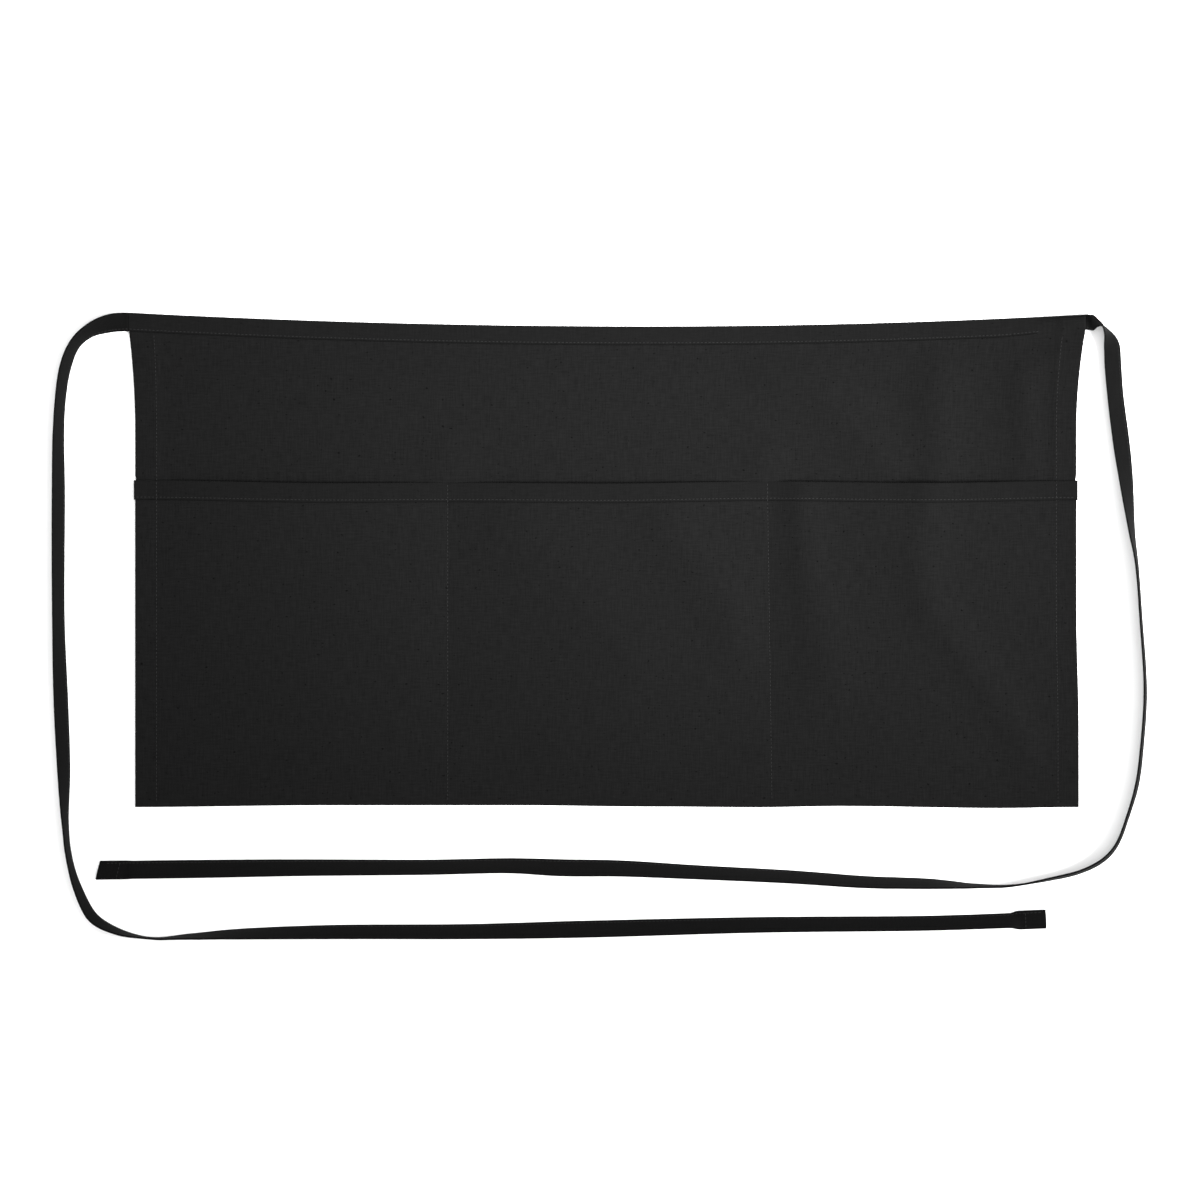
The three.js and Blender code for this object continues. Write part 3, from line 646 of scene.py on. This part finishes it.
# %% Binding
BINDING_OVERHANG = 1 * MM
BINDING_BACK_ARM = 10.5 * MM
BINDING_SEAM = 1.8 * MM
BINDING_DENT = 0.09 * MM
BINDING_OVER = 1.06
BINDING_TURN = 0.6 * MM
BINDING_TURN_DOWN = 0.9 * MM
# Painted shade: how much darker the tapes' lower edges are painted, standing in for the thin shadow line
# there.
EDGE_PAINTED_SHADE = 0.75
binding_columns = [{"x": -1}] + [c for c in pocket_columns if c.get("drop", 0.0) == 0.0]
binding_columns.append({"x": 1})


def binding_place(column, row):
    level = BOTTOM_Y + POCKET_DEPTH
    if "x" in column:
        x = side_x(column["x"], level) + column["x"] * BINDING_OVERHANG
    else:
        x = pocket_column_x(column, level)[0]
    y = mouth_y(x) - row["down"]
    stitched = BINDING_DENT * math.exp(-((row["down"] - BINDING_HEIGHT + BINDING_SEAM) / (1.2 * MM)) ** 2)
    z = pocket_z(x, y) + row["over"] * LAYER - (stitched if row["over"] > 0 else 0.0)
    return Vector((x, y, z)), (x, mouth_y(x) - row["flat"])


binding_rows = [{"down": down * MM, "over": BINDING_OVER, "flat": down * MM}
                for down in (12.8, 12.1, 11.5, 11, 10.5, 9.8, 8, 6, 4, 2.2)]
binding_rows[0]["over"] = 1.0
for step in range(7):
    angle = math.pi * step / 6
    binding_rows.append({"down": BINDING_TURN_DOWN - BINDING_TURN * math.sin(angle),
                         "over": math.cos(angle), "flat": BINDING_TURN_DOWN - BINDING_TURN * angle})
binding_rows += [{"down": down * MM, "over": -1.0, "flat": -down * MM} for down in (2.4, 6, 9)]
binding_rows.append({"down": BINDING_BACK_ARM, "over": -1.0, "flat": -BINDING_BACK_ARM})
# The binding's lower edge gets a painted shade line.
binding = lay_cloth("mouth_binding", binding_columns, binding_rows, binding_place, binding_cotton,
                    shade=lambda row: EDGE_PAINTED_SHADE * ease(12.0 * MM, 12.6 * MM, row["flat"]))
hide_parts("pocket_binding")

# %% [markdown]
# ## The waistband
# The waistband is folded tape with the top of the back cloth sewn inside it. Where the side hems
# run in, it holds three layers and is thicker.

# %% Waistband
BAND_OVERHANG = 0.6 * MM
BAND_TURN = 0.9 * MM
BAND_COLUMNS = 170
BAND_SEAM = 1.6 * MM
BAND_DENT = 0.10 * MM


def band_end_x(side):
    return side_x(side, TOP_Y) + side * BAND_OVERHANG


band_columns = [band_end_x(-1)] + [side_x(-1, TOP_Y) + d * MM for d in (0, 2, 5, 8, 11, 13, 14.5, 16, 18)]
band_columns += [mix(side_x(-1, TOP_Y) + 18 * MM, side_x(1, TOP_Y) - 18 * MM, share)
                 for share in spread(BAND_COLUMNS)]
band_columns += [side_x(1, TOP_Y) - d * MM for d in (18, 16, 14.5, 13, 11, 8, 5, 2, 0)] + [band_end_x(1)]


def band_layers(x):
    """How many layers lie under the band's front arm."""
    inset = min(x - side_x(-1, TOP_Y), side_x(1, TOP_Y) - x)
    return 3 - ease(13 * MM, 17 * MM, inset)


def band_front_z(x, y):
    ripple = 0.10 * MM * slow_noise(x, y * 0.5, 11 * MM, 9.5) + 0.15 * MM * slow_noise(x, y, 60 * MM, 2.5)
    return BED + band_layers(x) * LAYER + ripple + edge_curl(x, y) * 0.5


def band_place(x, row):
    y = waist_y(x) - row["down"] * band_height(x) / BAND_HEIGHT
    top = band_front_z(x, y)
    stitched = BAND_DENT * math.exp(-((row["down"] - BAND_HEIGHT + BAND_SEAM) / (1.2 * MM)) ** 2)
    z = mix(BED, top, row["front"]) - stitched * row["front"]
    return Vector((x, y, z)), (x, waist_y(x) - row["flat"])


band_rows = [{"down": down * MM, "front": 1.0, "flat": down * MM}
             for down in (12, 11.4, 10.9, 10.4, 9.9, 9.2, 7.5, 5.5, 3.5, 2)]
for step in range(7):
    angle = math.pi * step / 6
    band_rows.append({"down": BAND_TURN * (1 - math.sin(angle)), "front": (1 + math.cos(angle)) / 2,
                      "flat": BAND_TURN * (1 - angle)})
band_rows += [{"down": down * MM, "front": 0.0, "flat": -down * MM} for down in (2, 5, 8, 11.4)]
# The waistband's lower edge gets a painted shade line.
waistband = lay_cloth("waistband_tape", band_columns, band_rows, band_place, binding_cotton,
                      shade=lambda row: EDGE_PAINTED_SHADE * ease(11.2 * MM, 11.8 * MM, row["flat"]))
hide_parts("waistband")

# %% [markdown]
# ## The way each tie lies
# Past the cloth the tape runs on as a tie about a metre long, down one side of the apron and
# back along the bottom. It never lies quite flat: it leans on one edge, twists over near the
# waist, and stands on edge in the corners. A table gives points on its way, as shares of the
# apron's width and height from its middle, and how far the tape leans: 0 is flat, 90 on its
# edge, 180 turned over. A smooth curve through the points carries the lean along with it.

# %% The ties' routes
TIE_TAPE = 1.16 * MM
TIE_STUB = 1.5 * MM
TIE_LEAD = 4 * MM
TIE_LEAD_LEAN = 0.5
TIE_LET_DOWN = 16 * MM
TIE_FLATTEN = 9 * MM
TIE_HEM_STEP = 4 * MM
TIE_SLANTS = {-1: 0.0, 1: 3 * MM}
TIE_SLANT_RUN = 8 * MM
TIE_CURVE_STEPS = 40
TIE_START_LIFT = 0.7 * MM
TIE_ROUTES = {
    -1: [
        (-0.528, 0.479, 20), (-0.547, 0.466, 48), (-0.563, 0.44, 60), (-0.5735, 0.395, 60),
        (-0.5805, 0.3, 63), (-0.5815, 0.12, 54), (-0.5815, -0.12, 57), (-0.579, -0.285, 48),
        (-0.576, -0.42, 54), (-0.574, -0.54, 77), (-0.569, -0.615, 78), (-0.56, -0.672, 70),
        (-0.545, -0.726, 64), (-0.522, -0.752, 74), (-0.485, -0.768, 90), (-0.442, -0.765, 78),
        (-0.389, -0.76, 62), (-0.293, -0.756, 48), (-0.144, -0.755, 43), (-0.017, -0.75, 32),
        (0.164, -0.7415, 40), (0.345, -0.738, 44), (0.425, -0.733, 44), (0.445, -0.7315, 44),
    ],
    1: [
        (0.527, 0.4755, 90), (0.5335, 0.459, 115), (0.538, 0.436, 148), (0.5395, 0.395, 154),
        (0.542, 0.334, 151), (0.548, 0.243, 154), (0.552, 0.182, 144), (0.559, 0.06, 112),
        (0.5645, -0.011, 101), (0.569, -0.123, 100), (0.5735, -0.265, 101), (0.5705, -0.367, 102),
        (0.5645, -0.458, 103), (0.555, -0.52, 101), (0.543, -0.579, 102), (0.5285, -0.61, 103),
        (0.505, -0.633, 101), (0.473, -0.648, 99), (0.43, -0.662, 90), (0.393, -0.662, 82),
        (0.345, -0.658, 63), (0.281, -0.655, 56), (0.196, -0.644, 51), (0.1, -0.635, 47),
        (0.015, -0.627, 36), (-0.048, -0.6255, 31), (-0.1, -0.6215, 42), (-0.187, -0.6245, 42),
        (-0.325, -0.6255, 33), (-0.453, -0.6285, 20),
    ],
}


def curve_piece(values, gaps, share):
    """One stretch of a smooth curve through four values, with these gaps between them."""
    before, start, end, after = values
    leave = (start - before) / gaps[0] - (end - before) / (gaps[0] + gaps[1]) + (end - start) / gaps[1]
    arrive = (end - start) / gaps[1] - (after - start) / (gaps[1] + gaps[2]) + (after - end) / gaps[2]
    square, cube = share * share, share ** 3
    return (start * (2 * cube - 3 * square + 1) + leave * gaps[1] * (cube - 2 * square + share)
            + end * (3 * square - 2 * cube) + arrive * gaps[1] * (cube - square))


def tie_samples(side):
    """Close points along a tie: distance from the waistband, place, heading and lean."""
    start = Vector((band_end_x(side), waist_y(side_x(side, TOP_Y)) - BAND_HEIGHT / 2))
    points = [start, start + Vector((side * TIE_LEAD, 0))]
    points += [Vector((across * APRON_WIDTH, up * APRON_HEIGHT)) for across, up, _ in TIE_ROUTES[side]]
    leans = [0.0, TIE_ROUTES[side][0][2] * TIE_LEAD_LEAN] + [row[2] for row in TIE_ROUTES[side]]
    points = [points[0] * 2 - points[1], *points, points[-1] * 2 - points[-2]]
    leans = [leans[0], *leans, leans[-1]]
    samples = []
    for i in range(1, len(points) - 2):
        gaps = [math.sqrt((points[j + 1] - points[j]).length) for j in (i - 1, i, i + 1)]
        for step in range(TIE_CURVE_STEPS):
            share = step / TIE_CURVE_STEPS
            place = curve_piece(points[i - 1:i + 3], gaps, share)
            lean = curve_piece(leans[i - 1:i + 3], (1, 1, 1), share)
            distance = samples[-1]["at"] + (place - samples[-1]["place"]).length if samples else 0.0
            samples.append({"at": distance, "place": place, "lean": lean})
    for now, after in zip(samples, samples[1:]):
        way = (after["place"] - now["place"]).normalized()
        now["heading"] = Vector((side, 0)).lerp(way, ease(0, TIE_LEAD, now["at"])).normalized()
    samples[-1]["heading"] = samples[-2]["heading"]
    return samples


samples_of = {side: tie_samples(side) for side in (-1, 1)}


def tie_station(side, at):
    """Place, heading and lean at a distance along a tie, straight on past the table's end."""
    samples = samples_of[side]
    last = samples[-1]
    if at >= last["at"]:
        return last["place"] + last["heading"] * (at - last["at"]), last["heading"], last["lean"]
    low, high = 0, len(samples) - 1
    while high - low > 1:
        middle = (low + high) // 2
        if samples[middle]["at"] <= at:
            low = middle
        else:
            high = middle
    now, after = samples[low], samples[high]
    share = (at - now["at"]) / (after["at"] - now["at"])
    heading = now["heading"].lerp(after["heading"], share).normalized()
    return now["place"].lerp(after["place"], share), heading, mix(now["lean"], after["lean"], share)


def tie_frame(side, at):
    """Middle of the tape at a distance, and its directions along, across and off the front."""
    length = TIE_LENGTHS[side]
    hem_edge = length - TIE_HEM
    run = min(at, length)
    place, heading, lean = tie_station(side, run)
    lean *= ease(TIE_STUB, 2 * TIE_LEAD, run) * (1 - ease(hem_edge - TIE_FLATTEN, hem_edge, run))
    lean = math.radians(lean)
    outer = Vector((heading.y, -heading.x, 0.0)) * -side
    along = Vector((heading.x, heading.y, 0.0))
    across = outer * math.cos(lean) + Vector((0, 0, math.sin(lean)))
    front = Vector((0, 0, math.cos(lean))) - outer * math.sin(lean)
    height = TIE_WIDTH / 2 * abs(math.sin(lean)) + TIE_TAPE / 2 * abs(math.cos(lean))
    height += TIE_START_LIFT * (1 - ease(TIE_STUB, TIE_LET_DOWN, run))
    height += TIE_TAPE * ease(hem_edge - TIE_HEM_STEP, hem_edge, run)
    middle = Vector((place.x, place.y, height))
    if at > length - TIE_TAPE / 2:
        # The hem: half a turn round the end, then back underneath
        radius = TIE_TAPE / 2
        turn = at - (length - radius)
        centre = tie_station(side, length - radius)[0]
        angle = min(turn / radius, math.pi)
        back = max(0.0, turn - radius * math.pi)
        middle = Vector((centre.x, centre.y, TIE_TAPE)) + along * (radius * math.sin(angle) - back)
        middle.z += radius * math.cos(angle)
        front = Vector((0, 0, math.cos(angle))) + along * math.sin(angle)
        along = along * math.cos(angle) - Vector((0, 0, math.sin(angle)))
    return middle, along, across, front


for side in (-1, 1):
    tabled = samples_of[side][-1]["at"] / MM
    print("tie", side, "tabled length: %.0f mm of %.0f" % (tabled, TIE_LENGTHS[side] / MM))

# %% [markdown]
# ## The ties' tape
# Each tie is a strip of cloth folded in half along its length, with its raw edges turned in and
# sewn. The fold is the outer edge and the sewn edges are the inner one, as on the waistband that
# it runs on from. The strip's cross-section is a narrow letter C, and it is carried along the
# route. The end of the tape is turned under once and sewn across. The one lamp can't reach into
# the right tie's twist beside the waistband, so the tape's colour is lighter there, which keeps
# it near the waistband's tone. Each crease across a tie is given by how far along it is, its
# depth and its reach, in millimetres.

# %% Ties
TIE_ARM = 0.33 * MM
TIE_PUFF = 0.14 * MM
TIE_SEAM = 1.6 * MM
TIE_GATHER = 14 * MM
# Painted light: the right tie's colour is made lighter in its twist, where the one lamp can't reach.
TIE_TWIST_PAINTED_LIGHT = {-1: 0.0, 1: -1.2}
TIE_TWIST_RUN = (11 * MM, 18 * MM)
TIE_MOUTH = 0.55 * MM
TIE_LOWEST = CLOTH / 2 + 0.03 * MM
TIE_START_STEP = 0.75 * MM
TIE_STEP = 2.6 * MM
TIE_CREASES = {
    -1: [(7, 0.5, 2.0), (92, -0.25, 5), (366, 0.3, 5), (408, -0.25, 4), (438, 0.35, 5), (462, 0.3, 4),
         (500, -0.2, 6)],
    1: [(9, 0.3, 2.5), (150, -0.2, 6), (300, 0.2, 7), (455, 0.25, 6), (500, -0.2, 6), (700, 0.15, 8)],
}


def tie_profile(side):
    """From one arm's inner edge, round the outer fold, to the other arm's inner edge."""
    marks = (-6.0, -5.6, -5.0, -4.4, -3.8, -3.0, -1.2, 0.8, 2.8, 4.4, 5.3)
    front = [{"across": mark * MM, "side": 1.0} for mark in marks]
    turn = [{"across": TIE_WIDTH / 2 - TIE_ARM * (1 - math.sin(math.pi * step / 6)),
             "side": math.cos(math.pi * step / 6)} for step in range(7)]
    back = [{"across": mark * MM, "side": -1.0} for mark in reversed(marks)]
    return front + turn + back if side < 0 else list(reversed(front + turn + back))


def tie_surface(side, at, across, face):
    """A point of the tape's middle wall: face is 1 on its front arm and -1 on its back arm."""
    middle, _, sideways, front = tie_frame(side, at)
    if side > 0:
        # Gathered at the waistband's narrow end, with the top edge running straight on
        gathered = BAND_PINCH * (1 - ease(0, TIE_GATHER, at))
        across = TIE_WIDTH / 2 - (TIE_WIDTH / 2 - across) * (1 - gathered)
    inner = (across + TIE_WIDTH / 2) / TIE_WIDTH
    puff = TIE_PUFF * math.sin(math.pi * clamp((inner - 0.16) / 0.84)) ** 0.8 if inner > 0.16 else 0.0
    closing = 1 - 0.22 * math.exp(-((across + TIE_WIDTH / 2 - TIE_SEAM) / (1.0 * MM)) ** 2)
    pucker = 0.05 * MM * slow_noise(at, across, 6 * MM, 12.5 + side)
    opened = TIE_MOUTH * (1 - ease(0, 9 * MM, at))
    out = face * (TIE_ARM * closing + puff * ease(0, 12 * MM, at) + pucker * abs(face) + opened)
    crease = sum(depth * MM * math.exp(-((at / MM - where) / reach) ** 2)
                 for where, depth, reach in TIE_CREASES[side]) * (0.4 + 0.6 * inner)
    slant = TIE_SLANTS[side] * (across / TIE_WIDTH)
    slant *= ease(TIE_LENGTHS[side] - TIE_HEM - TIE_SLANT_RUN, TIE_LENGTHS[side] - TIE_HEM, at)
    heading = tie_station(side, min(at, TIE_LENGTHS[side]))[1].to_3d()
    return middle + sideways * across + front * (out - crease * 0.5) + heading * slant


def tie_place(side):
    def place(column, row):
        point = tie_surface(side, row, column["across"], column["side"])
        point.z = max(point.z, TIE_LOWEST)
        flat_across = column["across"] if column["side"] >= 0 else TIE_WIDTH - column["across"]
        return point, (flat_across, row)
    return place


def tie_rows(side):
    length = TIE_LENGTHS[side]
    rows = [step * TIE_START_STEP for step in range(21)]
    slant_start = length - TIE_HEM - TIE_SLANT_RUN
    count = round((slant_start - rows[-1]) / TIE_STEP)
    rows += [mix(rows[-1], slant_start, (step + 1) / count) for step in range(count)]
    start = rows[-1]
    rows += [mix(start, length - TIE_TAPE, (step + 1) / 20) for step in range(20)]
    turn = math.pi * TIE_TAPE / 2
    rows += [length - TIE_TAPE / 2 + turn * step / 8 for step in range(9)]
    rows += [length - TIE_TAPE / 2 + turn + back * MM for back in (1.5, 4, 7, 10, 13)]
    return rows


for side, name in ((-1, "left"), (1, "right")):
    # The right tie's twist gets painted light through its shade table.
    lay_cloth("tie_tape_" + name, tie_profile(side), tie_rows(side), tie_place(side),
                           tie_cotton, shade=lambda at: TIE_TWIST_PAINTED_LIGHT[side] * (1 - ease(*TIE_TWIST_RUN, at)))
    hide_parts("tie_" + name)

# %% [markdown]
# ## Thread
# Every seam is a line of lockstitch in black thread, one stitch each 2.5 mm. A stitch is a short
# soft bead of thread that dips into the cloth at both ends, so each is a small stretched sphere,
# half sunk. A line of them is one joined mesh. The thread is polyester, smoother than the cloth,
# so it catches a little more light.

# %% Stitches
STITCH_PITCH = 2.5 * MM
STITCH_LENGTH = 2.0 * MM
STITCH_WIDTH = 0.42 * MM
STITCH_HEIGHT = STITCH_WIDTH * 0.8
STITCH_BATCH = 40

thread, thread_out = new_material("black_spun_polyester_thread")
thread_surface = node_in(thread, "ShaderNodeBsdfPrincipled",
                         {"Base Color": srgb("#1a1a1a"), "Roughness": 0.62, "Specular IOR Level": 0.1})
thread.node_tree.links.new(thread_surface.outputs["BSDF"], thread_out.inputs["Surface"])


def stitch_beads(point_at, first, last):
    """A small mesh of beads of thread along point_at(distance), from one stitch to another."""
    beads = bmesh.new()
    for index in range(first, last):
        middle = (index + 0.5) * STITCH_PITCH
        place, off = point_at(middle)
        ahead = point_at(middle + 0.5 * MM)[0] - point_at(middle - 0.5 * MM)[0]
        ahead.normalize()
        aside = off.cross(ahead).normalized()
        off = ahead.cross(aside).normalized()
        size = (ahead * STITCH_LENGTH, aside * STITCH_WIDTH, off * STITCH_HEIGHT)
        turned = Matrix(size).transposed().to_4x4()
        turned.translation = place
        bmesh.ops.create_uvsphere(beads, u_segments=6, v_segments=4, radius=0.5, matrix=turned)
    mesh = bpy.data.meshes.new("beads")
    beads.to_mesh(mesh)
    beads.free()
    return mesh


def sewn(name, lines):
    """One mesh with a row of stitches for each line, joined a few dozen at a time."""
    shell = bmesh.new()
    stitches = 0
    for point_at, length in lines:
        count = int(length / STITCH_PITCH)
        for first in range(0, count, STITCH_BATCH):
            beads = stitch_beads(point_at, first, min(first + STITCH_BATCH, count))
            shell.from_mesh(beads)
            bpy.data.meshes.remove(beads)
        stitches += count
    for face in shell.faces:
        face.smooth = True
    mesh = bpy.data.meshes.new(name)
    shell.to_mesh(mesh)
    shell.free()
    mesh.materials.append(thread)
    piece = bpy.data.objects.new(name, mesh)
    bpy.context.scene.collection.objects.link(piece)
    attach(piece, "root")
    print(name, "stitches:", stitches)
    return piece


UP = Vector((0, 0, 1))
ON_TOP = CLOTH / 2 + 0.04 * MM
TIE_END_INSET = 0.8 * MM
TIE_END_SEAM = 1.2 * MM


def band_line(at):
    x = band_end_x(-1) + at
    y = waist_y(x) - (BAND_HEIGHT - BAND_SEAM) * band_height(x) / BAND_HEIGHT
    return Vector((x, y, band_front_z(x, y) + ON_TOP - BAND_DENT)), UP


def binding_line(at):
    x = -APRON_WIDTH / 2 + at
    y = mouth_y(x) - BINDING_HEIGHT + BINDING_SEAM
    return Vector((x, y, pocket_z(x, y) + BINDING_OVER * LAYER + ON_TOP - BINDING_DENT)), UP


def front_z(x, y):
    """The middle of the topmost cloth at a place on the apron's front."""
    if y > band_low_y(x):
        return band_front_z(x, y)
    if y > mouth_y(x):
        side = -1 if x < 0 else 1
        inset = side * (side_x(side, y) - x)
        hem = LAYER if inset < HEM_WIDTH * hem_spread(side, y) else 0.0
        return BED + hem + panel_relief(x, y) + edge_curl(x, y)
    bound = BINDING_OVER * LAYER if y > mouth_y(x) - BINDING_HEIGHT else 0.0
    return pocket_z(x, y) + bound


def hem_line(side):
    def line(at):
        y = waist_y(side * 0.29) - BAND_HEIGHT - 1 * MM - at
        x = side_x(side, y) - side * HEM_SEAMS[side] * hem_spread(side, y)
        return Vector((x, y, front_z(x, y) + ON_TOP)), UP
    return line


def divider_line(index):
    def line(at):
        y = mouth_y(divider_x(index, BOTTOM_Y + POCKET_DEPTH)) - 1 * MM - at
        x = divider_x(index, y)
        return Vector((x, y, front_z(x, y) + ON_TOP)), UP
    return line


def tie_line(side, face):
    def line(at):
        across = TIE_SEAM - TIE_WIDTH / 2
        front = tie_frame(side, at)[3]
        return tie_surface(side, at, across, face) + front * face * ON_TOP, front * face
    return line


def tie_end_line(side):
    def line(at):
        across = TIE_WIDTH / 2 - TIE_END_INSET - at
        where = TIE_LENGTHS[side] - TIE_HEM + TIE_END_SEAM
        return tie_surface(side, where, across, 1.0) + UP * ON_TOP, UP
    return line


band_thread = sewn("waistband_stitches", [(band_line, band_end_x(1) - band_end_x(-1))])
binding_thread = sewn("binding_stitches", [(binding_line, APRON_WIDTH)])
hem_thread = sewn("side_hem_stitches",
                  [(hem_line(side), APRON_HEIGHT - BAND_HEIGHT - 3 * MM) for side in (-1, 1)])
divider_thread = sewn("divider_stitches",
                      [(divider_line(index), POCKET_DEPTH - 4 * MM) for index in (0, 1)])
for side, name in ((-1, "left"), (1, "right")):
    lines = [(tie_line(side, face), TIE_LENGTHS[side] - 2 * MM) for face in (1.0, -1.0)]
    lines.append((tie_end_line(side), TIE_WIDTH - 2 * TIE_END_INSET))
    sewn("tie_%s_stitches" % name, lines)

# %% [markdown]
# ## The end
# Nothing more is done here.

# %% The end
for side in (-1, 1):
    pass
